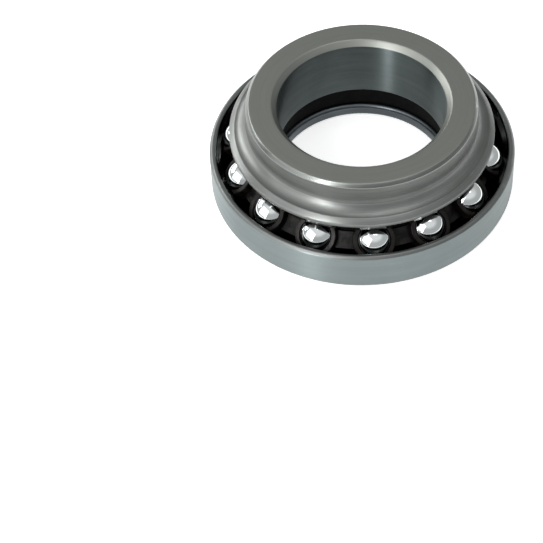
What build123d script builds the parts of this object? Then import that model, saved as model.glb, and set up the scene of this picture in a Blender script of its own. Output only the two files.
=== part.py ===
from build123d import *
import os
from math import cos, radians, sin

# Single-row angular contact ball bearing that carries thrust along +Z.
# Millimetres. +Z runs along the bearing axis; the origin is the centre of the bottom face.

# ---- overall sizes ----
BORE_R = 15.0              # stem bore of the inner ring
OUTSIDE_R = 27.5           # housing seat of the outer ring
OVERALL_H = 18.4

# ---- balls ----
BALL_COUNT = 14
BALL_R = 3.175             # quarter-inch ball
PITCH_R = 22.2
BALL_Z = 6.4
FIRST_BALL_DEG = -90.0     # angle of ball_01 about +Z
CONTACT_DEG = 45.0         # contact angle from the radial plane

# ---- ball grooves ----
GROOVE_R = 3.3             # 52 % of the ball diameter
CONTACT_GAP = 0.04         # left at the contact point so that the bodies stay clear
OUTER_GROOVE_ENDS = (-125.0, -5.0)   # section angles where the outer groove starts and stops
INNER_GROOVE_ENDS = (82.0, 170.0)    # section angles where the inner groove starts and stops

# ---- outer ring ----
LIP_R = 15.25              # clearance hole round the stem
LIP_TOP_Z = 2.3
LIP_ROUND_R = 0.8          # rounded upper edge of the lip
LIP_BREAK = 0.3            # lower edge of the lip
RAMP_R = 18.4              # where the base turns up toward the groove
SEAT_BREAK = 0.6           # lower outside corner
SEAT_TOP_Z = 7.15          # top of the housing seat
RIM_TOP_Z = 7.6
RIM_OUTER_R = 27.05
RIM_INNER_R = 26.3
RIM_WALL_Z = (6.7, 7.4)    # counterbore wall above the groove
RIM_BREAK = 0.2

# ---- inner ring ----
NOSE_Z = 6.5               # bottom face
NOSE_BREAK = 0.3
BORE_CHAMFER = 1.0
TOP_R = 20.0               # outer edge of the top face
COLLAR_R = 20.55
COLLAR_CHAMFER_Z = 17.75   # lower edge of the collar's top chamfer
FLARE_R = 2.25             # concave fillet at the foot of the collar
FLARE_FOOT_Z = 12.7
FLANGE_R = 23.7
FLANGE_Z = (11.35, 12.0)   # narrow cylindrical land of the flange

# ---- cage ----
CAGE_GAP = 0.3             # kept clear of both rings
CAGE_BORE_R = 16.0
CAGE_FLOOR_Z = LIP_TOP_Z + CAGE_GAP
CAGE_BASE_R = 20.1         # outside of the solid base
CAGE_BASE_TOP_Z = NOSE_Z - CAGE_GAP
CAGE_RIM_R = RIM_INNER_R - CAGE_GAP
CAGE_CEILING_Z = 10.6
BAND_HALF_T = 1.5          # half thickness of the conical band that holds the pockets
BAND_REACH = (-4.6, 0.15)  # extent of the band along the pocket axis, from the ball centre
POCKET_R = 3.3
COLLAR_OUT_R = 3.72        # outside of the raised collar round each pocket
COLLAR_REACH = (-1.5, 1.5) # extent of the collar along the pocket axis, from the ball centre
COLLAR_EDGE_R = 0.15       # rounded mouth edge of the collar
MARK_R = 0.55              # round moulding mark on each web
MARK_DEPTH = 0.12

PITCH_DEG = 360.0 / BALL_COUNT


def polar(centre, radius, degrees):
    """Point of the (r, z) section at an angle from a centre."""
    return (centre[0] + radius * cos(radians(degrees)), centre[1] + radius * sin(radians(degrees)))


def groove_centre(contact_degrees):
    """Centre of a groove arc whose contact point leaves CONTACT_GAP to the ball."""
    return polar((PITCH_R, BALL_Z), -(GROOVE_R - BALL_R - CONTACT_GAP), contact_degrees)


def section(*pieces):
    """Closed (r, z) outline on the XZ plane; each piece is one point or a three-point arc."""
    edges, ends = [], []
    for piece in pieces:
        if isinstance(piece[0], tuple):
            edges.append(ThreePointArc(*piece))
            ends.append((piece[0], piece[-1]))
        else:
            ends.append((piece, piece))
    for (_, last), (first, _) in zip(ends, ends[1:] + ends[:1]):
        edges.append(Line(last, first))
    return make_face(edges)


def arc(centre, radius, start, stop):
    """Three points of an arc about a centre, from start to stop degrees."""
    return tuple(polar(centre, radius, a) for a in (start, (start + stop) / 2, stop))


def ring(face):
    """Full revolution of an (r, z) section about +Z."""
    return revolve(Plane.XZ * face, Axis.Z, 360)


def outer_section():
    groove = arc(groove_centre(-CONTACT_DEG), GROOVE_R, *OUTER_GROOVE_ENDS)
    lip = arc((LIP_R + LIP_ROUND_R, LIP_TOP_Z - LIP_ROUND_R), LIP_ROUND_R, 180, 90)
    return section(
        lip,
        (RAMP_R, LIP_TOP_Z),
        groove,
        (RIM_INNER_R, RIM_WALL_Z[0]),
        (RIM_INNER_R, RIM_WALL_Z[1]),
        (RIM_INNER_R + RIM_BREAK, RIM_TOP_Z),
        (RIM_OUTER_R, RIM_TOP_Z),
        (OUTSIDE_R, SEAT_TOP_Z),
        (OUTSIDE_R, SEAT_BREAK),
        (OUTSIDE_R - SEAT_BREAK, 0),
        (LIP_R + LIP_BREAK, 0),
        (LIP_R, LIP_BREAK),
    )


def inner_section():
    groove = arc(groove_centre(180 - CONTACT_DEG), GROOVE_R, *INNER_GROOVE_ENDS)
    flare = arc((COLLAR_R + FLARE_R, FLARE_FOOT_Z + FLARE_R), FLARE_R, 180, 270)
    nose_r = groove[-1][0]
    return section(
        (BORE_R, OVERALL_H - BORE_CHAMFER),
        (BORE_R + BORE_CHAMFER, OVERALL_H),
        (TOP_R, OVERALL_H),
        (COLLAR_R, COLLAR_CHAMFER_Z),
        flare,
        (FLANGE_R, FLANGE_Z[1]),
        (FLANGE_R, FLANGE_Z[0]),
        groove,
        (nose_r, NOSE_Z + NOSE_BREAK),
        (nose_r - NOSE_BREAK, NOSE_Z),
        (BORE_R + NOSE_BREAK, NOSE_Z),
        (BORE_R, NOSE_Z + NOSE_BREAK),
    )


def cage_space():
    """Section of the room between the rings, less the running clearance."""
    room = section(
        (CAGE_BORE_R, CAGE_FLOOR_Z), (CAGE_RIM_R, CAGE_FLOOR_Z),
        (CAGE_RIM_R, CAGE_CEILING_Z), (CAGE_BORE_R, CAGE_CEILING_Z),
    )
    return room - offset(outer_section(), CAGE_GAP) - offset(inner_section(), CAGE_GAP)


def pocket_plane(degrees):
    """Plane at a ball centre, with its normal along the pocket axis, up and outward."""
    a, tilt = radians(degrees), radians(90 - CONTACT_DEG)
    out = Vector(cos(a), sin(a), 0)
    return Plane(
        origin=out * PITCH_R + Vector(0, 0, BALL_Z),
        x_dir=Vector(-sin(a), cos(a), 0),
        z_dir=out * cos(tilt) + Vector(0, 0, sin(tilt)),
    )


def band_section():
    """Conical band through the ball centres, square to the contact line."""
    along = 90 - CONTACT_DEG
    start, stop = (polar((PITCH_R, BALL_Z), reach, along) for reach in BAND_REACH)
    return section(
        polar(start, -BAND_HALF_T, along + 90),
        polar(stop, -BAND_HALF_T, along + 90),
        polar(stop, BAND_HALF_T, along + 90),
        polar(start, BAND_HALF_T, along + 90),
    )


def ball_angles(shift=0.0):
    return [FIRST_BALL_DEG + (i + shift) * PITCH_DEG for i in range(BALL_COUNT)]


def pocket_collar():
    low, high = COLLAR_REACH
    tube = Pos(0, 0, (low + high) / 2) * Cylinder(COLLAR_OUT_R, high - low)
    return fillet(tube.edges().group_by(Axis.Z)[-1], COLLAR_EDGE_R)


def cage():
    space = cage_space()
    base = section(
        (CAGE_BORE_R, CAGE_FLOOR_Z), (CAGE_BASE_R, CAGE_FLOOR_Z),
        (CAGE_BASE_R, CAGE_BASE_TOP_Z), (CAGE_BORE_R, CAGE_BASE_TOP_Z),
    )
    body = ring((base + band_section()) & space)
    collars = [pocket_plane(a) * pocket_collar() for a in ball_angles()]
    body += [ring(space) & collar for collar in collars]
    body -= [pocket_plane(a) * Sphere(POCKET_R) for a in ball_angles()]
    mark = Pos(0, 0, BAND_REACH[1]) * Cylinder(MARK_R, 2 * MARK_DEPTH)
    body -= [pocket_plane(a) * mark for a in ball_angles(0.5)]
    return body


def ball(degrees):
    return pocket_plane(degrees) * Sphere(BALL_R)


def save(shape, node, colour):
    shape.label = node
    shape.color = Color(*colour)
    export_step(shape, f"parts/{node}.step")


STEEL, DARK_STEEL, PLASTIC = (0.60, 0.62, 0.62), (0.45, 0.46, 0.44), (0.05, 0.04, 0.035)

os.makedirs("parts", exist_ok=True)
save(ring(outer_section()), "outer_ring", STEEL)
save(ring(inner_section()), "inner_ring", DARK_STEEL)
save(cage(), "cage", PLASTIC)
for number, angle in enumerate(ball_angles(), start=1):
    save(ball(angle), f"ball_{number:02d}", STEEL)
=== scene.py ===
"""Looks of a single-row angular contact bearing with a stepped inner ring."""
import logging
import math
from dataclasses import dataclass, field
from enum import Enum
from typing import Any, Callable

import bmesh
import bpy
from mathutils import Matrix, Vector


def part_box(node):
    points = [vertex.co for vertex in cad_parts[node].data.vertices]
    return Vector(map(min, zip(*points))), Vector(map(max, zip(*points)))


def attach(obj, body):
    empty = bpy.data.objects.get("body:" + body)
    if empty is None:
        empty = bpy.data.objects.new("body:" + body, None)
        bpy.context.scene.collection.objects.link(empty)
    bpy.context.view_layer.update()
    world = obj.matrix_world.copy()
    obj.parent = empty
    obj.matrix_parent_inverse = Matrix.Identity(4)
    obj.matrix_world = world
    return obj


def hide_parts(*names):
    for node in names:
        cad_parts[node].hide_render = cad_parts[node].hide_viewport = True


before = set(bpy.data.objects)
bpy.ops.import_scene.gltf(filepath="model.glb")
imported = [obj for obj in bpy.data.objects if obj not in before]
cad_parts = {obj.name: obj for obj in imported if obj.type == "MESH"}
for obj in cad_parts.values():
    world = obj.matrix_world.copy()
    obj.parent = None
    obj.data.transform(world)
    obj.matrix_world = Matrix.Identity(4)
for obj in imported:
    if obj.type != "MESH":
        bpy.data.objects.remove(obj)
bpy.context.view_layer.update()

# Lengths.
MM = 0.001  # a millimetre, in metres
MICRON = 1e-6  # a micrometre, in metres

# Turned shapes, with lengths in millimetres.
TURN_STEPS = 256  # sides of a full turn
EASE = 0.1  # rounding of the sharp corners
EASE_STEPS = 3  # edges in each rounding
LONGEST_EDGE = 0.5  # longest edge of an outline
MERGE = 1e-4  # points nearer than this become one
LAND_MARGIN = 0.05  # keeps a land's rounded edges out of the next land
LAND_WEIGHT = 80  # pull of large faces on the normals beside them

# Marks, wear and haze. A layer gives its shares of fineness and breaks, and its detail.
FINE_LAYER = (1.0, 1.0, 4.0)
BAND_LAYER = (0.16, 0.35, 2.0)
MARK_ROUGHNESS = 0.62
FLAT = 0.5  # pointiness of a flat face
WEAR_START = 0.505  # pointiness at which an edge starts to look rubbed
WEAR_REACH = 0.1  # pointiness per unit of spread
WEAR_BREAKS = (0.3, 0.6, 0.4, 1.0)  # spans give the range read, then the range made
PATCH_SPAN = (0.32, 0.68, 0.0, 1.0)
SPECK_SPAN = (0.55, 0.75, 0.0, 1.0)
SPECKS_PER_MM = 9.0

# Steel.
ROUND_AXIS = 0.25  # turns the anisotropy to marks that run round the axis
TONE_SPAN = (0.36, 0.64, 0.0, 1.0)
TONE_SHARE = 0.65  # share of the marks in the blend of the two colours
CLOUD_SHARE = 0.35  # share of the patches in that blend
BRIGHT_GAIN, BRIGHT_LIFT = 1.35, 0.05  # make the colour of rubbed edges
STEEL_BUMP = 0.35

# Plastic.
PLASTIC_PATCHES = 0.45  # patches per millimetre
PLASTIC_BLOOM = 0.04  # strength of the bloom in the patches
PLASTIC_SPREAD, PLASTIC_WEAR = 0.8, 0.5  # reach and strength of the paler edges
PLASTIC_BUMP = 0.25
PLASTIC_RELIEF = 8e-6  # metres

logging.basicConfig(level=logging.INFO, format="%(levelname)s %(message)s")
log = logging.getLogger("bearing")

Colour = tuple[float, float, float]
Place = tuple[float, float, float]
Point = tuple[float, float]
Socket = bpy.types.NodeSocket


MIX_FACTOR, MIX_FIRST, MIX_SECOND, MIX_COLOUR = 0, 6, 7, 2  # sockets of a colour Mix node


# --------------------------------------------------------------------------- node helpers
@dataclass
class Nodes:
    """Adds and joins nodes in one tree.

    Args:
        tree: The node tree that is filled.
    """

    tree: bpy.types.NodeTree

    def add(self, kind: str, **values: Any) -> bpy.types.Node:
        """Adds a node.

        Args:
            kind: The node's type name, without its ShaderNode prefix.
            values: Properties of the node.

        Returns:
            The new node.
        """
        node = self.tree.nodes.new("ShaderNode" + kind)
        for name, value in values.items():
            setattr(node, name, value)
        return node

    def set(self, node: bpy.types.Node, **inputs: Any) -> bpy.types.Node:
        """Sets or joins inputs by name; an underscore stands for a space.

        Args:
            node: The node whose inputs are set.
            inputs: A socket to join, or a plain value.

        Returns:
            The same node.
        """
        for name, value in inputs.items():
            self.feed(node.inputs[name.replace("_", " ")], value)
        return node

    def feed(self, socket: Socket, value: Any) -> None:
        """Joins a socket to another one, or gives it a plain value.

        Args:
            socket: The input that is fed.
            value: A socket to join, or a plain value.
        """
        if isinstance(value, Socket):
            self.tree.links.new(value, socket)
        else:
            socket.default_value = value

    def math(self, operation: str, *values: Any, clamp: bool = False) -> Socket:
        """Adds a Math node.

        Args:
            operation: The Math node's operation.
            values: Its inputs in order.
            clamp: True keeps the result between 0 and 1.

        Returns:
            The result socket.
        """
        node = self.add("Math", operation=operation, use_clamp=clamp)
        for socket, value in zip(node.inputs, values):
            self.feed(socket, value)
        return node.outputs[0]

    def span(self, value: Socket, low: float, high: Any, to_low: float, to_high: float) -> Socket:
        """Maps a value from one range to another and clamps it there.

        Args:
            value: The value's socket.
            low: Start of the range read.
            high: End of the range read, a number or a socket.
            to_low: Result at low.
            to_high: Result at high.

        Returns:
            The result socket.
        """
        node = self.add("MapRange")
        for index, item in enumerate((value, low, high, to_low, to_high)):
            self.feed(node.inputs[index], item)
        return node.outputs[0]

    def blend(self, factor: Any, first: Any, second: Any) -> Socket:
        """Mixes two colours.

        Args:
            factor: 0 gives the first colour and 1 the second.
            first: A colour or socket.
            second: A colour or socket.

        Returns:
            The colour socket.
        """
        node = self.add("Mix", data_type="RGBA")
        for index, item in ((MIX_FACTOR, factor), (MIX_FIRST, first), (MIX_SECOND, second)):
            if isinstance(item, tuple):
                item = (*item, 1.0)
            self.feed(node.inputs[index], item)
        return node.outputs[MIX_COLOUR]

    def millimetres(self) -> Socket:
        """Reads the object coordinates.

        Returns:
            The socket of the coordinates in millimetres.
        """
        place = self.add("Mapping")
        place.inputs["Scale"].default_value = (1 / MM,) * 3
        self.feed(place.inputs["Vector"], self.add("TexCoord").outputs["Object"])
        return place.outputs["Vector"]


@dataclass(frozen=True)
class Effect:
    """A shader node group that several finishes share, built once.

    Args:
        name: The group's name.
        inputs: Float inputs and their defaults.
        outputs: Names of the float outputs.
        wire: Fills the group from its input sockets and returns the outputs' sockets.
    """

    name: str
    inputs: dict[str, float]
    outputs: tuple[str, ...]
    wire: Callable[[Nodes, dict[str, Socket]], tuple[Socket, ...]]

    def group(self) -> bpy.types.NodeTree:
        """Makes the node group on the first call.

        Returns:
            The node group.
        """
        tree = bpy.data.node_groups.get(self.name)
        if tree:
            return tree
        tree = bpy.data.node_groups.new(self.name, "ShaderNodeTree")
        for title, value in self.inputs.items():
            socket = tree.interface.new_socket(
                title, in_out="INPUT", socket_type="NodeSocketFloat")
            socket.default_value = value
        for title in self.outputs:
            tree.interface.new_socket(
                title, in_out="OUTPUT", socket_type="NodeSocketFloat")
        entry, leave = tree.nodes.new("NodeGroupInput"), tree.nodes.new("NodeGroupOutput")
        given = {title: entry.outputs[title] for title in self.inputs}
        results = self.wire(Nodes(tree), given)
        for title, socket in zip(self.outputs, results):
            tree.links.new(socket, leave.inputs[title])
        return tree

    def place(self, nodes: Nodes, **values: float) -> bpy.types.Node:
        """Adds the effect to a material.

        Args:
            nodes: The material's nodes.
            values: Input values by name; an underscore stands for a space.

        Returns:
            The group node.
        """
        return nodes.set(nodes.add("Group", node_tree=self.group()), **values)


def wire_turning(nodes: Nodes, entry: dict[str, Socket]) -> tuple[Socket, ...]:
    """Wires fine marks that run round the Z axis, with a broader band pattern.

    Args:
        nodes: The group's nodes.
        entry: Marks per millimetre under "Fineness", and "Breaks", how often a mark starts anew.

    Returns:
        The sockets of the fine lines and the broad bands.
    """
    place = nodes.add("SeparateXYZ")
    nodes.feed(place.inputs[0], nodes.millimetres())
    x, y, z = place.outputs
    squares = nodes.math("MULTIPLY", x, x), nodes.math("MULTIPLY", y, y)
    radius = nodes.math("SQRT", nodes.math("ADD", *squares))
    results = []
    for fineness, breaks, detail in (FINE_LAYER, BAND_LAYER):
        step = nodes.math("MULTIPLY", entry["Fineness"], fineness)
        turn = nodes.math("MULTIPLY", entry["Breaks"], breaks)
        along = nodes.add("CombineXYZ")
        for socket, value in zip(along.inputs, (x, y)):
            heading = nodes.math("DIVIDE", value, radius)
            nodes.feed(socket, nodes.math("MULTIPLY", heading, turn))
        nodes.feed(along.inputs[2], nodes.math("MULTIPLY", radius, step))
        noise = nodes.add("TexNoise", noise_dimensions="4D")
        nodes.set(noise, Vector=along.outputs[0], W=nodes.math("MULTIPLY", z, step), Scale=1.0,
                  Detail=detail, Roughness=MARK_ROUGHNESS)
        results.append(noise.outputs["Fac"])
    return tuple(results)


def wire_wear(nodes: Nodes, entry: dict[str, Socket]) -> tuple[Socket, ...]:
    """Wires a mask of rubbed outer edges, broken up by noise.

    Args:
        nodes: The group's nodes.
        entry: "Spread", how far wear reaches, and "Scale" of its breaks.

    Returns:
        The mask's socket.
    """
    sharp = nodes.add("NewGeometry").outputs["Pointiness"]
    reach = nodes.math("ADD", FLAT, nodes.math("MULTIPLY", entry["Spread"], WEAR_REACH))
    edge = nodes.span(sharp, WEAR_START, reach, 0.0, 1.0)
    noise = nodes.set(nodes.add("TexNoise"), Vector=nodes.millimetres(), Scale=entry["Scale"],
                      Detail=3.0)
    return (nodes.math("MULTIPLY", edge, nodes.span(noise.outputs["Fac"], *WEAR_BREAKS)),)


def wire_haze(nodes: Nodes, entry: dict[str, Socket]) -> tuple[Socket, ...]:
    """Wires soft cloudy patches and fine specks, as handling and oil leave.

    Args:
        nodes: The group's nodes.
        entry: "Scale" of the patches per millimetre.

    Returns:
        The sockets of the patches and the specks.
    """
    place = nodes.millimetres()
    cloud = nodes.set(nodes.add("TexNoise"), Vector=place, Scale=entry["Scale"], Detail=3.0,
                      Distortion=0.6)
    speck = nodes.set(nodes.add("TexNoise"), Vector=place, Scale=SPECKS_PER_MM, Detail=2.0)
    return (nodes.span(cloud.outputs["Fac"], *PATCH_SPAN),
            nodes.span(speck.outputs["Fac"], *SPECK_SPAN))


TURNING = Effect("turning_marks", {"Fineness": 6.0, "Breaks": 3.0}, ("Lines", "Bands"),
                 wire_turning)
WEAR = Effect("edge_wear", {"Spread": 0.5, "Scale": 0.8}, ("Mask",), wire_wear)
HAZE = Effect("handling_haze", {"Scale": 0.12}, ("Patches", "Specks"), wire_haze)


# --------------------------------------------------------------------------- finishes
class Grain(Enum):
    """How the marks of a steel surface lie."""

    GROUND = "ground round the axis"
    LAPPED = "lapped, with no direction"


@dataclass(frozen=True)
class SteelFinish:
    """Bearing steel, ground or lapped.

    Args:
        name: The material's name.
        colour: Base colour.
        shade: Darker colour of the marks and patches.
        roughness: Lowest and highest roughness.
        grain: How its marks lie.
        fineness: Marks per millimetre.
        relief: Depth of the marks, in micrometres.
        wear: Strength of the bright rubbed edges.
        anisotropic: How far highlights spread across the marks.
    """

    name: str
    colour: Colour
    shade: Colour
    roughness: tuple[float, float]
    grain: Grain = Grain.GROUND
    fineness: float = 6.0
    relief: float = 3.0
    wear: float = 0.6
    anisotropic: float = 0.0

    def material(self) -> bpy.types.Material:
        """Makes the material on the first call.

        Returns:
            The material.
        """
        return bpy.data.materials.get(self.name) or self.build()

    def build(self) -> bpy.types.Material:
        """Builds the material and its nodes.

        Returns:
            The new material.
        """
        material = bpy.data.materials.new(self.name)
        material.use_nodes = True
        nodes = Nodes(material.node_tree)
        shader = material.node_tree.nodes["Principled BSDF"]
        shader.inputs["Metallic"].default_value = 1.0
        shader.inputs["Anisotropic"].default_value = self.anisotropic
        shader.inputs["Anisotropic Rotation"].default_value = ROUND_AXIS
        if self.anisotropic:
            round_axis = nodes.add("Tangent", direction_type="RADIAL", axis="Z")
            nodes.feed(shader.inputs["Tangent"], round_axis.outputs[0])
        haze = HAZE.place(nodes)
        if self.grain is Grain.GROUND:
            marks = TURNING.place(nodes, Fineness=self.fineness)
            lines, bands = marks.outputs["Lines"], marks.outputs["Bands"]
            halves = nodes.math("MULTIPLY", lines, 0.5), nodes.math("MULTIPLY", bands, 0.5)
            tone = nodes.span(nodes.math("ADD", *halves), *TONE_SPAN)
            height = lines
        else:
            tone = haze.outputs["Patches"]
            height = haze.outputs["Specks"]
        cloudy = nodes.math("MULTIPLY", haze.outputs["Patches"], CLOUD_SHARE)
        marked = nodes.math("MULTIPLY", tone, TONE_SHARE)
        blend = nodes.math("ADD", marked, cloudy, clamp=True)
        base = nodes.blend(blend, self.shade, self.colour)
        worn = nodes.math("MULTIPLY", WEAR.place(nodes).outputs["Mask"], self.wear)
        bright = tuple(min(1.0, value * BRIGHT_GAIN + BRIGHT_LIFT) for value in self.colour)
        nodes.feed(shader.inputs["Base Color"], nodes.blend(worn, base, bright))
        rough = nodes.span(blend, 0.0, 1.0, self.roughness[1], self.roughness[0])
        nodes.feed(shader.inputs["Roughness"], rough)
        bump = nodes.add("Bump")
        bump.inputs["Strength"].default_value = STEEL_BUMP
        bump.inputs["Distance"].default_value = self.relief * MICRON
        nodes.feed(bump.inputs["Height"], height)
        nodes.feed(shader.inputs["Normal"], bump.outputs["Normal"])
        return material


@dataclass(frozen=True)
class PlasticFinish:
    """Glossy moulded plastic.

    Args:
        name: The material's name.
        colour: Base colour.
        bloom: Colour of the faint dusty bloom.
        roughness: Lowest and highest roughness.
        gloss: Strength of its reflections; 0.5 is that of plain plastic.
    """

    name: str
    colour: Colour
    bloom: Colour
    roughness: tuple[float, float]
    gloss: float = 0.16

    def material(self) -> bpy.types.Material:
        """Makes the material on the first call.

        Returns:
            The material.
        """
        return bpy.data.materials.get(self.name) or self.build()

    def build(self) -> bpy.types.Material:
        """Builds the material and its nodes.

        Returns:
            The new material.
        """
        material = bpy.data.materials.new(self.name)
        material.use_nodes = True
        nodes = Nodes(material.node_tree)
        shader = material.node_tree.nodes["Principled BSDF"]
        shader.inputs["Specular IOR Level"].default_value = self.gloss
        haze = HAZE.place(nodes, Scale=PLASTIC_PATCHES)
        edges = WEAR.place(nodes, Spread=PLASTIC_SPREAD).outputs["Mask"]
        worn = nodes.math("MULTIPLY", edges, PLASTIC_WEAR)
        dusty = nodes.math("MULTIPLY", haze.outputs["Patches"], PLASTIC_BLOOM)
        pale = nodes.math("MAXIMUM", dusty, worn)
        nodes.feed(shader.inputs["Base Color"], nodes.blend(pale, self.colour, self.bloom))
        rough = nodes.span(haze.outputs["Patches"], 0.0, 1.0, *self.roughness)
        nodes.feed(shader.inputs["Roughness"], rough)
        bump = nodes.add("Bump")
        bump.inputs["Strength"].default_value = PLASTIC_BUMP
        bump.inputs["Distance"].default_value = PLASTIC_RELIEF
        nodes.feed(bump.inputs["Height"], haze.outputs["Specks"])
        nodes.feed(shader.inputs["Normal"], bump.outputs["Normal"])
        return material


Finish = SteelFinish | PlasticFinish

SEAT_STEEL = SteelFinish(
    "ground_seat_steel", colour=(0.205, 0.236, 0.236), shade=(0.178, 0.205, 0.206),
    roughness=(0.34, 0.42), fineness=9.0, relief=1.5, wear=0.5, anisotropic=0.9)
RIM_STEEL = SteelFinish(
    "ground_rim_steel", colour=(0.185, 0.194, 0.19), shade=(0.13, 0.137, 0.133),
    roughness=(0.34, 0.46), wear=0.3)
BASE_STEEL = SteelFinish(
    "ground_base_steel", colour=(0.11, 0.125, 0.135), shade=(0.07, 0.08, 0.085),
    roughness=(0.26, 0.36), wear=0.8)
# Painted shade: a darker copy of the flare's steel paints the dark crescent on the collar's wall.
WALL_STEEL_PAINTED_SHADE = SteelFinish(
    "turned_collar_steel_painted_shade", colour=(0.156, 0.161, 0.155), shade=(0.10, 0.105, 0.10),
    roughness=(0.30, 0.42), relief=4.0, wear=0.2, anisotropic=0.6)
FLARE_STEEL = SteelFinish(
    "turned_flare_steel", colour=(0.232, 0.24, 0.231), shade=(0.15, 0.155, 0.15),
    roughness=(0.32, 0.44), relief=5.0, wear=0.2, anisotropic=0.6)
FACE_STEEL = SteelFinish(
    "ground_face_steel", colour=(0.266, 0.276, 0.254), shade=(0.228, 0.236, 0.218),
    roughness=(0.38, 0.46), relief=0.25, wear=0.0)
# Painted shade: a darker copy of the face's steel tones down the highlight on the collar's
# chamfer; its turned marks and rubbed edges are real.
EDGE_STEEL_PAINTED_SHADE = SteelFinish(
    "turned_edge_steel_painted_shade", colour=(0.24, 0.25, 0.24), shade=(0.14, 0.146, 0.14),
    roughness=(0.24, 0.32), fineness=5.0, relief=7.0, wear=0.7)
# Painted shade: the ground bore's base colour is kept dark for the shade inside the stem bore.
BORE_STEEL_PAINTED_SHADE = SteelFinish(
    "ground_bore_steel_painted_shade", colour=(0.118, 0.137, 0.137), shade=(0.09, 0.106, 0.106),
    roughness=(0.38, 0.44), relief=2.0, wear=0.2, anisotropic=1.0)
# Painted shade: the grooves and the outer ring's inner wall are painted near black for the shade
# among the balls and cage.
RACE_STEEL_PAINTED_SHADE = SteelFinish(
    "race_steel_painted_shade", colour=(0.035, 0.036, 0.036), shade=(0.02, 0.02, 0.02),
    roughness=(0.14, 0.24), relief=1.0, wear=0.2)
BALL_STEEL = SteelFinish(
    "lapped_ball_steel", colour=(0.80, 0.83, 0.83), shade=(0.72, 0.75, 0.75),
    roughness=(0.03, 0.06), grain=Grain.LAPPED, relief=0.15, wear=0.0)
CAGE_PLASTIC = PlasticFinish(
    "moulded_cage_plastic", colour=(0.0022, 0.0017, 0.0015), bloom=(0.036, 0.033, 0.029),
    roughness=(0.28, 0.42))
# Painted shade: a darker, duller copy of the cage plastic for the shaded wall round the stem.
CAGE_INSIDE_PAINTED_SHADE = PlasticFinish(
    "cage_inside_painted_shade", colour=(0.002, 0.0022, 0.0026), bloom=(0.004, 0.004, 0.004),
    roughness=(0.6, 0.7), gloss=0.05)


# --------------------------------------------------------------------------- turning
@dataclass
class Section:
    """The closed outline of a turned piece in the XZ plane, in millimetres.

    Args:
        start: First corner, as radius and height.
    """

    start: Point
    mesh: bmesh.types.BMesh = field(init=False, default_factory=bmesh.new)
    first: bmesh.types.BMVert = field(init=False)
    last: bmesh.types.BMVert = field(init=False)

    def __post_init__(self) -> None:
        """Places the first corner."""
        self.first = self.mesh.verts.new((self.start[0], 0.0, self.start[1]))
        self.last = self.first

    def line(self, *points: Point) -> "Section":
        """Draws straight runs.

        Args:
            points: The end of each run, as radius and height.

        Returns:
            The section.
        """
        for radius, height in points:
            vert = self.mesh.verts.new((radius, 0.0, height))
            self.mesh.edges.new((self.last, vert))
            self.last = vert
        return self

    def arc(self, centre: Point, degrees: float, steps: int) -> "Section":
        """Sweeps the last point round a centre.

        Args:
            centre: The arc's centre.
            degrees: The angle swept; positive runs from +X toward +Z.
            steps: Number of edges in the arc.

        Returns:
            The section.
        """
        swept = bmesh.ops.spin(
            self.mesh, geom=[self.last], cent=(centre[0], 0.0, centre[1]),
            axis=(0.0, -1.0, 0.0), angle=math.radians(degrees), steps=steps,
            use_duplicate=False)
        self.last = next(
            item for item in swept["geom_last"] if isinstance(item, bmesh.types.BMVert))
        return self

    def close(self) -> "Section":
        """Joins the last point to the first.

        Returns:
            The section.
        """
        self.mesh.edges.new((self.last, self.first))
        self.mesh.verts.ensure_lookup_table()
        return self

    def ease(self, radius: float, least: float = 25.0) -> "Section":
        """Rounds every corner sharper than a given turn.

        Args:
            radius: Size of the rounding.
            least: Smallest turn, in degrees, that is rounded.

        Returns:
            The section.
        """
        sharp = []
        for vert in self.mesh.verts:
            if len(vert.link_edges) != 2:
                continue
            first, second = (edge.other_vert(vert).co - vert.co for edge in vert.link_edges)
            if 180.0 - math.degrees(first.angle(second)) > least:
                sharp.append(vert)
        bmesh.ops.bevel(
            self.mesh, geom=sharp, offset=radius, offset_type="OFFSET", segments=EASE_STEPS,
            profile=0.5, affect="VERTICES", clamp_overlap=True, material=-1)
        return self

    def divide(self, longest: float) -> "Section":
        """Cuts long runs so that edge effects stay beside their edges.

        Args:
            longest: Longest edge left, in millimetres.

        Returns:
            The section.
        """
        for edge in [edge for edge in self.mesh.edges if edge.calc_length() > longest]:
            cuts = int(edge.calc_length() / longest)
            bmesh.ops.subdivide_edges(self.mesh, edges=[edge], cuts=cuts)
        return self

    def turn(self, steps: int = TURN_STEPS) -> bmesh.types.BMesh:
        """Turns the outline round the Z axis.

        Args:
            steps: Number of sides of the full turn.

        Returns:
            The closed mesh, in millimetres.
        """
        geom = list(self.mesh.verts) + list(self.mesh.edges)
        bmesh.ops.spin(self.mesh, geom=geom, cent=(0, 0, 0), axis=(0, 0, 1), angle=math.tau,
                       steps=steps, use_merge=True, use_duplicate=False)
        bmesh.ops.remove_doubles(self.mesh, verts=self.mesh.verts, dist=MERGE)
        bmesh.ops.recalc_face_normals(self.mesh, faces=self.mesh.faces)
        return self.mesh


def on_circle(centre: Point, radius: float, degrees: float) -> Point:
    """Finds a point on a circle.

    Args:
        centre: The circle's centre, as radius and height.
        radius: The circle's radius.
        degrees: The angle of the point; positive runs from +X toward +Z.

    Returns:
        The point, as radius and height.
    """
    angle = math.radians(degrees)
    return centre[0] + radius * math.cos(angle), centre[1] + radius * math.sin(angle)


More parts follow.
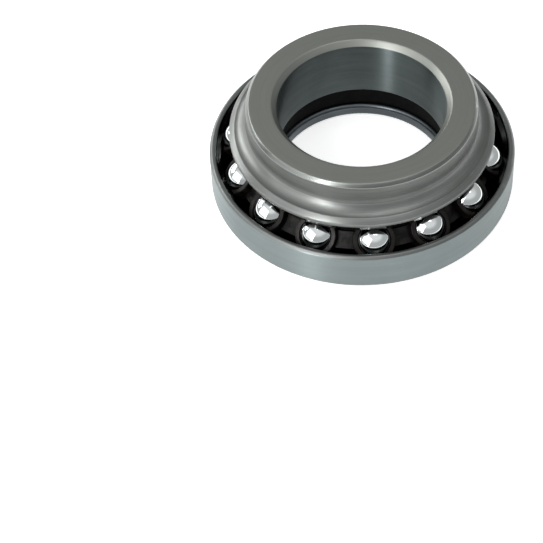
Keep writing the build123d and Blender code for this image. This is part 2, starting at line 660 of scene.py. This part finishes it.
def make_piece(name: str, body: str, mesh: bmesh.types.BMesh,
               finish: Callable[[float, float], Finish],
               finishes: tuple[Finish, ...]) -> bpy.types.Object:
    """Turns a finished bmesh in millimetres into a piece that rides on its body.

    Args:
        name: The piece's name.
        body: The body it rides on.
        mesh: The shape, in millimetres; it is freed here.
        finish: Gives a face's finish from its radius and height.
        finishes: Every finish of the piece, in the order of its material slots.

    Returns:
        The new object.
    """
    for face in mesh.faces:
        middle = face.calc_center_median()
        chosen = finish(math.hypot(middle.x, middle.y), middle.z)
        face.material_index = finishes.index(chosen)
        face.smooth = True
    bmesh.ops.scale(mesh, vec=(MM, MM, MM), verts=mesh.verts)
    data = bpy.data.meshes.new(name)
    mesh.to_mesh(data)
    mesh.free()
    piece = bpy.data.objects.new(name, data)
    bpy.context.scene.collection.objects.link(piece)
    for item in finishes:
        data.materials.append(item.material())
    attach(piece, body)
    log.info("%s: %d faces on %s", name, len(data.polygons), body)
    return piece


def even_normals(piece: bpy.types.Object) -> None:
    """Keeps flat lands flat beside their rounded edges.

    Args:
        piece: The piece that is shaded.
    """
    modifier = piece.modifiers.new("even_normals", "WEIGHTED_NORMAL")
    modifier.weight = LAND_WEIGHT
    modifier.keep_sharp = True


# --------------------------------------------------------------------------- sub-assemblies
@dataclass
class OuterRing:
    """The low ring: housing seat, rim, groove and base with a rounded lip round the stem.

    Args:
        seat_r: Radius of the housing seat.
        seat_break: Chamfer under the seat.
        seat_top: Height at which the rim's chamfer starts.
        rim_outer_r: Outer radius of the rim's land.
        rim_inner_r: Radius of the wall inside the rim.
        rim_top: Height of the rim.
        wall: Lowest and highest point of that wall.
        rim_break: Chamfer at the rim's inner edge.
        lip_r: Radius of the hole round the stem.
        lip_top: Height of the base.
        lip_round: Rounding of the lip's upper edge.
        lip_break: Chamfer under the lip.
        ramp_r: Radius at which the base turns up to the groove.
        groove_centre: Centre of the groove, as radius and height.
        groove_r: Radius of the groove.
        groove_ends: Angles at which the groove starts and ends, in degrees.
        race_r: Radius beyond which the race, painted near black as shade, starts.
        race_z: Height above which it starts.
    """

    seat_r: float = 27.5
    seat_break: float = 0.6
    seat_top: float = 7.15
    rim_outer_r: float = 27.05
    rim_inner_r: float = 26.3
    rim_top: float = 7.6
    wall: Point = (6.7, 7.4)
    rim_break: float = 0.2
    lip_r: float = 15.25
    lip_top: float = 2.3
    lip_round: float = 0.8
    lip_break: float = 0.3
    ramp_r: float = 18.4
    groove_centre: Point = (22.1399, 6.4601)
    groove_r: float = 3.3
    groove_ends: Point = (-125.0, -5.0)
    race_r: float = 20.2
    race_z: float = 3.0

    def section(self) -> Section:
        """Draws the ring's outline.

        Returns:
            The closed outline.
        """
        round_centre = (self.lip_r + self.lip_round, self.lip_top - self.lip_round)
        outline = Section((self.lip_r, self.lip_top - self.lip_round))
        outline.arc(round_centre, -90.0, steps=8)
        outline.line((self.ramp_r, self.lip_top),
                     on_circle(self.groove_centre, self.groove_r, self.groove_ends[0]))
        outline.arc(self.groove_centre, self.groove_ends[1] - self.groove_ends[0], steps=24)
        outline.line((self.rim_inner_r, self.wall[0]), (self.rim_inner_r, self.wall[1]),
                     (self.rim_inner_r + self.rim_break, self.rim_top),
                     (self.rim_outer_r, self.rim_top),
                     (self.seat_r, self.seat_top), (self.seat_r, self.seat_break),
                     (self.seat_r - self.seat_break, 0.0), (self.lip_r + self.lip_break, 0.0),
                     (self.lip_r, self.lip_break))
        return outline.close().ease(EASE).divide(LONGEST_EDGE)

    def finish(self, radius: float, height: float) -> Finish:
        """Chooses between seat, rim with its chamfer, groove and base.

        Args:
            radius: Radius of the face's middle, in millimetres.
            height: Height of the face's middle, in millimetres.

        Returns:
            The face's finish.
        """
        if radius > self.rim_outer_r:
            return RIM_STEEL if height > self.seat_top + LAND_MARGIN else SEAT_STEEL
        if radius > self.rim_inner_r + LAND_MARGIN and height > self.wall[1]:
            return RIM_STEEL
        # Painted shade: the groove and the inner wall of the rim are painted near black.
        return RACE_STEEL_PAINTED_SHADE if radius > self.race_r and height > self.race_z else BASE_STEEL

    def build(self) -> bpy.types.Object:
        """Builds and dresses the ring.

        Returns:
            The ring.
        """
        piece = make_piece(
            "outer_ring_turned", "outer_ring", self.section().turn(),
            self.finish, (SEAT_STEEL, BASE_STEEL, RACE_STEEL_PAINTED_SHADE, RIM_STEEL))
        even_normals(piece)
        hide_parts("outer_ring")
        return piece


@dataclass
class InnerRing:
    """The tall ring: stem bore, collar, concave flare, bevelled flange and groove.

    Args:
        bore_r: Radius of the stem bore.
        bore_chamfer: Chamfer at the bore's upper edge.
        height: Height of the top face.
        top_r: Outer radius of the top face.
        collar_r: Radius of the collar.
        collar_chamfer_z: Height at which the collar's chamfer starts.
        flare_r: Radius of the concave flare at the collar's foot.
        flare_foot: Height of the flare's foot.
        flange_r: Radius of the flange.
        flange: Lowest and highest point of the flange's edge.
        groove_centre: Centre of the groove, as radius and height.
        groove_r: Radius of the groove.
        groove_ends: Angles at which the groove starts and ends, in degrees.
        nose: Height of the ring's lower face.
        nose_break: Chamfers of the lower face.
        race_margin: Depth under the flange at which the race, painted near black as shade,
            starts.
        flare_share: Part of the flare's height that still looks like the flare.
    """

    bore_r: float = 15.0
    bore_chamfer: float = 1.0
    height: float = 18.4
    top_r: float = 20.0
    collar_r: float = 20.55
    collar_chamfer_z: float = 17.75
    flare_r: float = 2.25
    flare_foot: float = 12.7
    flange_r: float = 23.7
    flange: Point = (11.35, 12.0)
    groove_centre: Point = (22.2601, 6.3399)
    groove_r: float = 3.3
    groove_ends: Point = (82.0, 170.0)
    nose: float = 6.5
    nose_break: float = 0.3
    race_margin: float = 0.1
    flare_share: float = 0.6

    def section(self) -> Section:
        """Draws the ring's outline.

        Returns:
            The closed outline.
        """
        nose_r = on_circle(self.groove_centre, self.groove_r, self.groove_ends[1])[0]
        outline = Section((self.bore_r, self.height - self.bore_chamfer))
        outline.line((self.bore_r + self.bore_chamfer, self.height), (self.top_r, self.height),
                     (self.collar_r, self.collar_chamfer_z),
                     (self.collar_r, self.flare_foot + self.flare_r))
        flare_centre = (self.collar_r + self.flare_r, self.flare_foot + self.flare_r)
        outline.arc(flare_centre, 90.0, steps=16)
        outline.line((self.flange_r, self.flange[1]), (self.flange_r, self.flange[0]),
                     on_circle(self.groove_centre, self.groove_r, self.groove_ends[0]))
        outline.arc(self.groove_centre, self.groove_ends[1] - self.groove_ends[0], steps=20)
        outline.line((nose_r, self.nose + self.nose_break), (nose_r - self.nose_break, self.nose),
                     (self.bore_r + self.nose_break, self.nose),
                     (self.bore_r, self.nose + self.nose_break))
        return outline.close().ease(EASE).divide(LONGEST_EDGE)

    def finish(self, radius: float, height: float) -> Finish:
        """Chooses between chamfer, top face, bore, groove, collar wall and flare.

        Args:
            radius: Radius of the face's middle, in millimetres.
            height: Height of the face's middle, in millimetres.

        Returns:
            The face's finish.
        """
        # Painted shade: the collar's chamfer takes the darker copy of the face's steel.
        if radius > self.top_r + LAND_MARGIN and height > self.collar_chamfer_z:
            return EDGE_STEEL_PAINTED_SHADE
        if height > self.height - self.bore_chamfer + LAND_MARGIN:
            return FACE_STEEL
        # Painted shade: the bore is painted dark.
        if radius < self.bore_r + self.bore_chamfer:
            return BORE_STEEL_PAINTED_SHADE
        # Painted shade: the groove under the flange is painted near black.
        if height < self.flange[0] - self.race_margin:
            return RACE_STEEL_PAINTED_SHADE
        flare_top = self.flare_foot + self.flare_share * self.flare_r
        # Painted shade: the collar's wall takes the darker copy of the flare's steel.
        return WALL_STEEL_PAINTED_SHADE if height > flare_top else FLARE_STEEL

    def build(self) -> bpy.types.Object:
        """Builds and dresses the ring.

        Returns:
            The ring.
        """
        finishes = (FACE_STEEL, BORE_STEEL_PAINTED_SHADE, RACE_STEEL_PAINTED_SHADE, WALL_STEEL_PAINTED_SHADE, FLARE_STEEL, EDGE_STEEL_PAINTED_SHADE)
        piece = make_piece("inner_ring_turned", "inner_ring",
                           self.section().turn(), self.finish, finishes)
        even_normals(piece)
        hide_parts("inner_ring")
        return piece


@dataclass
class BallSet:
    """The row of lapped balls.

    Args:
        count: Number of balls.
        radius: Radius of a ball.
        rings: Number of edges from pole to pole.
    """

    count: int = 14
    radius: float = 3.175
    rings: int = 32

    def build(self) -> list[bpy.types.Object]:
        """Builds and dresses the balls.

        Returns:
            The balls in order.
        """
        return [self.ball(f"ball_{number:02d}") for number in range(1, self.count + 1)]

    def ball(self, node: str) -> bpy.types.Object:
        """Builds one ball where its node lies.

        Args:
            node: The ball's node, which is its body too.

        Returns:
            The new ball.
        """
        low, high = (Vector(corner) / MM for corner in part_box(node))
        centre = (low + high) / 2
        outline = Section((0.0, -self.radius)).arc((0.0, 0.0), 180.0, steps=self.rings)
        mesh = outline.turn(2 * self.rings)
        bmesh.ops.translate(mesh, vec=centre, verts=mesh.verts)
        piece = make_piece(f"{node}_lapped", node, mesh,
                           lambda radius, height: BALL_STEEL, (BALL_STEEL,))
        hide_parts(node)
        return piece


@dataclass
class Cage:
    """The moulded cage between the rings.

    Args:
        node: The cage's node.
        bore_r: Radius inside which the wall takes a darker, duller copy of the plastic as painted
            shade.
        crease: Turn between two faces, in degrees, that stays a sharp edge.
        merge: Points of the node nearer than this become one.
    """

    node: str = "cage"
    bore_r: float = 16.4
    crease: float = 28.0
    merge: float = 0.002

    def build(self) -> bpy.types.Object:
        """Builds and dresses the cage from a merged copy of its node.

        Returns:
            The cage.
        """
        mesh = bmesh.new()
        mesh.from_mesh(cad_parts[self.node].data)
        bmesh.ops.scale(mesh, vec=(1 / MM, 1 / MM, 1 / MM), verts=mesh.verts)
        bmesh.ops.remove_doubles(mesh, verts=mesh.verts, dist=self.merge)
        for edge in mesh.edges:
            turn = math.degrees(edge.calc_face_angle(0.0))
            edge.smooth = edge.is_manifold and turn < self.crease
        # Painted shade: the wall inside bore_r takes the darker copy of the plastic.
        piece = make_piece(
            "cage_moulded", self.node, mesh,
            lambda radius, height: CAGE_INSIDE_PAINTED_SHADE if radius < self.bore_r else CAGE_PLASTIC,
            (CAGE_PLASTIC, CAGE_INSIDE_PAINTED_SHADE))
        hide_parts(self.node)
        return piece


# --------------------------------------------------------------------------- studio
@dataclass(frozen=True)
class Lamp:
    """A soft rectangular lamp.

    Args:
        name: The lamp's name.
        at: Its place in metres.
        size: Its width and height in metres.
        watts: Its power.
    """

    name: str
    at: Place
    size: Point
    watts: float

    def hang(self, target: Place) -> None:
        """Hangs the lamp so that it faces a point.

        Args:
            target: The point in metres.
        """
        data = bpy.data.lights.new(self.name, "AREA")
        data.shape = "RECTANGLE"
        data.size, data.size_y = self.size
        data.energy = self.watts
        lamp = bpy.data.objects.new(self.name, data)
        lamp.location = self.at
        way = (Vector(target) - Vector(self.at)).to_track_quat("-Z", "Y")
        lamp.rotation_euler = way.to_euler()
        bpy.context.scene.collection.objects.link(lamp)


LAMPS = (
    Lamp("front_left_panel", at=(-0.67, -0.38, 0.48), size=(1.00, 0.85), watts=2.9),
    Lamp("left_back_panel", at=(-0.60, 0.54, 0.36), size=(0.75, 0.34), watts=3.9),
    Lamp("overhead_panel", at=(0.15, 0.0, 1.0), size=(0.4, 0.4), watts=1.3),
    Lamp("streak_strip", at=(-0.50, -0.62, 0.42), size=(0.09, 0.75), watts=3.8),
)


@dataclass
class Studio:
    """Pale floor, soft lamps, grey room and camera.

    Args:
        floor_half: Half the floor's width, in metres.
        floor_grey: Brightness of the floor's colour.
        floor_rough: Roughness of the floor.
        floor_glow: Strength of the floor's own light.
        lamps_face: The point the lamps face, in metres.
        camera_at: The camera's place in metres.
        aim_at: The point the camera faces, in metres.
        roll: The camera's turn about its own axis, in degrees.
        lens: Focal length in millimetres.
        sensor: Width of the camera's sensor in millimetres.
        near: Nearest distance the camera sees, in metres.
        front: Direction in which the room is lightest.
        front_span: Where the room turns from back to front, along that direction.
        rise_span: Where the room turns from skirting to wall, by height of the direction.
        front_wall: Colour of the room in front.
        skirting: Colour of the room near the horizon and below.
        back_wall: Colour of the room behind.
    """

    floor_half: float = 1.5
    floor_grey: float = 0.93
    floor_rough: float = 0.9
    floor_glow: float = 0.56
    lamps_face: Place = (0.0, 0.0, 0.01)
    camera_at: Place = (-0.02322, -0.25224, 0.26585)
    aim_at: Place = (-0.01820, -0.02993, 0.009)
    roll: float = -3.2377
    lens: float = 132.6
    sensor: float = 36.0
    near: float = 0.01
    front: Place = (-0.15, -0.95, 0.25)
    front_span: Point = (-0.35, 0.45)
    rise_span: Point = (0.45, 0.72)
    front_wall: Colour = (0.84, 0.85, 0.855)
    skirting: Colour = (0.46, 0.47, 0.47)
    back_wall: Colour = (0.50, 0.51, 0.50)

    def floor(self) -> None:
        """Lays the floor."""
        mesh = bmesh.new()
        bmesh.ops.create_grid(mesh, x_segments=4, y_segments=4, size=self.floor_half)
        data = bpy.data.meshes.new("floor")
        mesh.to_mesh(data)
        mesh.free()
        plane = bpy.data.objects.new("floor", data)
        bpy.context.scene.collection.objects.link(plane)
        material = bpy.data.materials.new("floor_white")
        material.use_nodes = True
        shader = material.node_tree.nodes["Principled BSDF"]
        shader.inputs["Base Color"].default_value = (*(self.floor_grey,) * 3, 1.0)
        shader.inputs["Roughness"].default_value = self.floor_rough
        shader.inputs["Specular IOR Level"].default_value = 0.0
        shader.inputs["Emission Color"].default_value = (1.0, 1.0, 1.0, 1.0)
        shader.inputs["Emission Strength"].default_value = self.floor_glow
        data.materials.append(material)

    def room(self) -> None:
        """Lights the room: pale in front, grey behind and near the horizon."""
        world = bpy.data.worlds.new("studio_room")
        world.use_nodes = True
        nodes = Nodes(world.node_tree)
        facing = nodes.add("VectorMath", operation="DOT_PRODUCT")
        nodes.feed(facing.inputs[0], nodes.add("TexCoord").outputs["Generated"])
        nodes.feed(facing.inputs[1], self.front)
        level = nodes.span(facing.outputs["Value"], *self.front_span, 0.0, 1.0)
        height = nodes.add("SeparateXYZ")
        nodes.feed(height.inputs[0], nodes.add("TexCoord").outputs["Generated"])
        rise = nodes.span(height.outputs["Z"], *self.rise_span, 0.0, 1.0)
        wall = nodes.blend(level, self.back_wall, self.front_wall)
        back = world.node_tree.nodes["Background"]
        nodes.feed(back.inputs["Color"], nodes.blend(rise, self.skirting, wall))
        back.inputs["Strength"].default_value = 1.0
        bpy.context.scene.world = world

    def camera(self) -> None:
        """Stands the camera."""
        data = bpy.data.cameras.new("camera")
        data.lens = self.lens
        data.sensor_width = self.sensor
        data.clip_start = self.near
        camera = bpy.data.objects.new("camera", data)
        way = (Vector(self.aim_at) - Vector(self.camera_at)).to_track_quat("-Z", "Y")
        roll = Matrix.Rotation(math.radians(self.roll), 4, "Z")
        camera.matrix_world = (
            Matrix.Translation(self.camera_at) @ way.to_matrix().to_4x4() @ roll)
        bpy.context.scene.collection.objects.link(camera)
        bpy.context.scene.camera = camera

    def build(self) -> None:
        """Sets up the studio."""
        self.floor()
        self.room()
        for lamp in LAMPS:
            lamp.hang(self.lamps_face)
        self.camera()
        view = bpy.context.scene.view_settings
        view.view_transform, view.look = "Standard", "None"


def main() -> None:
    """Builds the bearing and its studio."""
    OuterRing().build()
    InnerRing().build()
    BallSet().build()
    Cage().build()
    Studio().build()


if __name__ == "__main__":
    main()
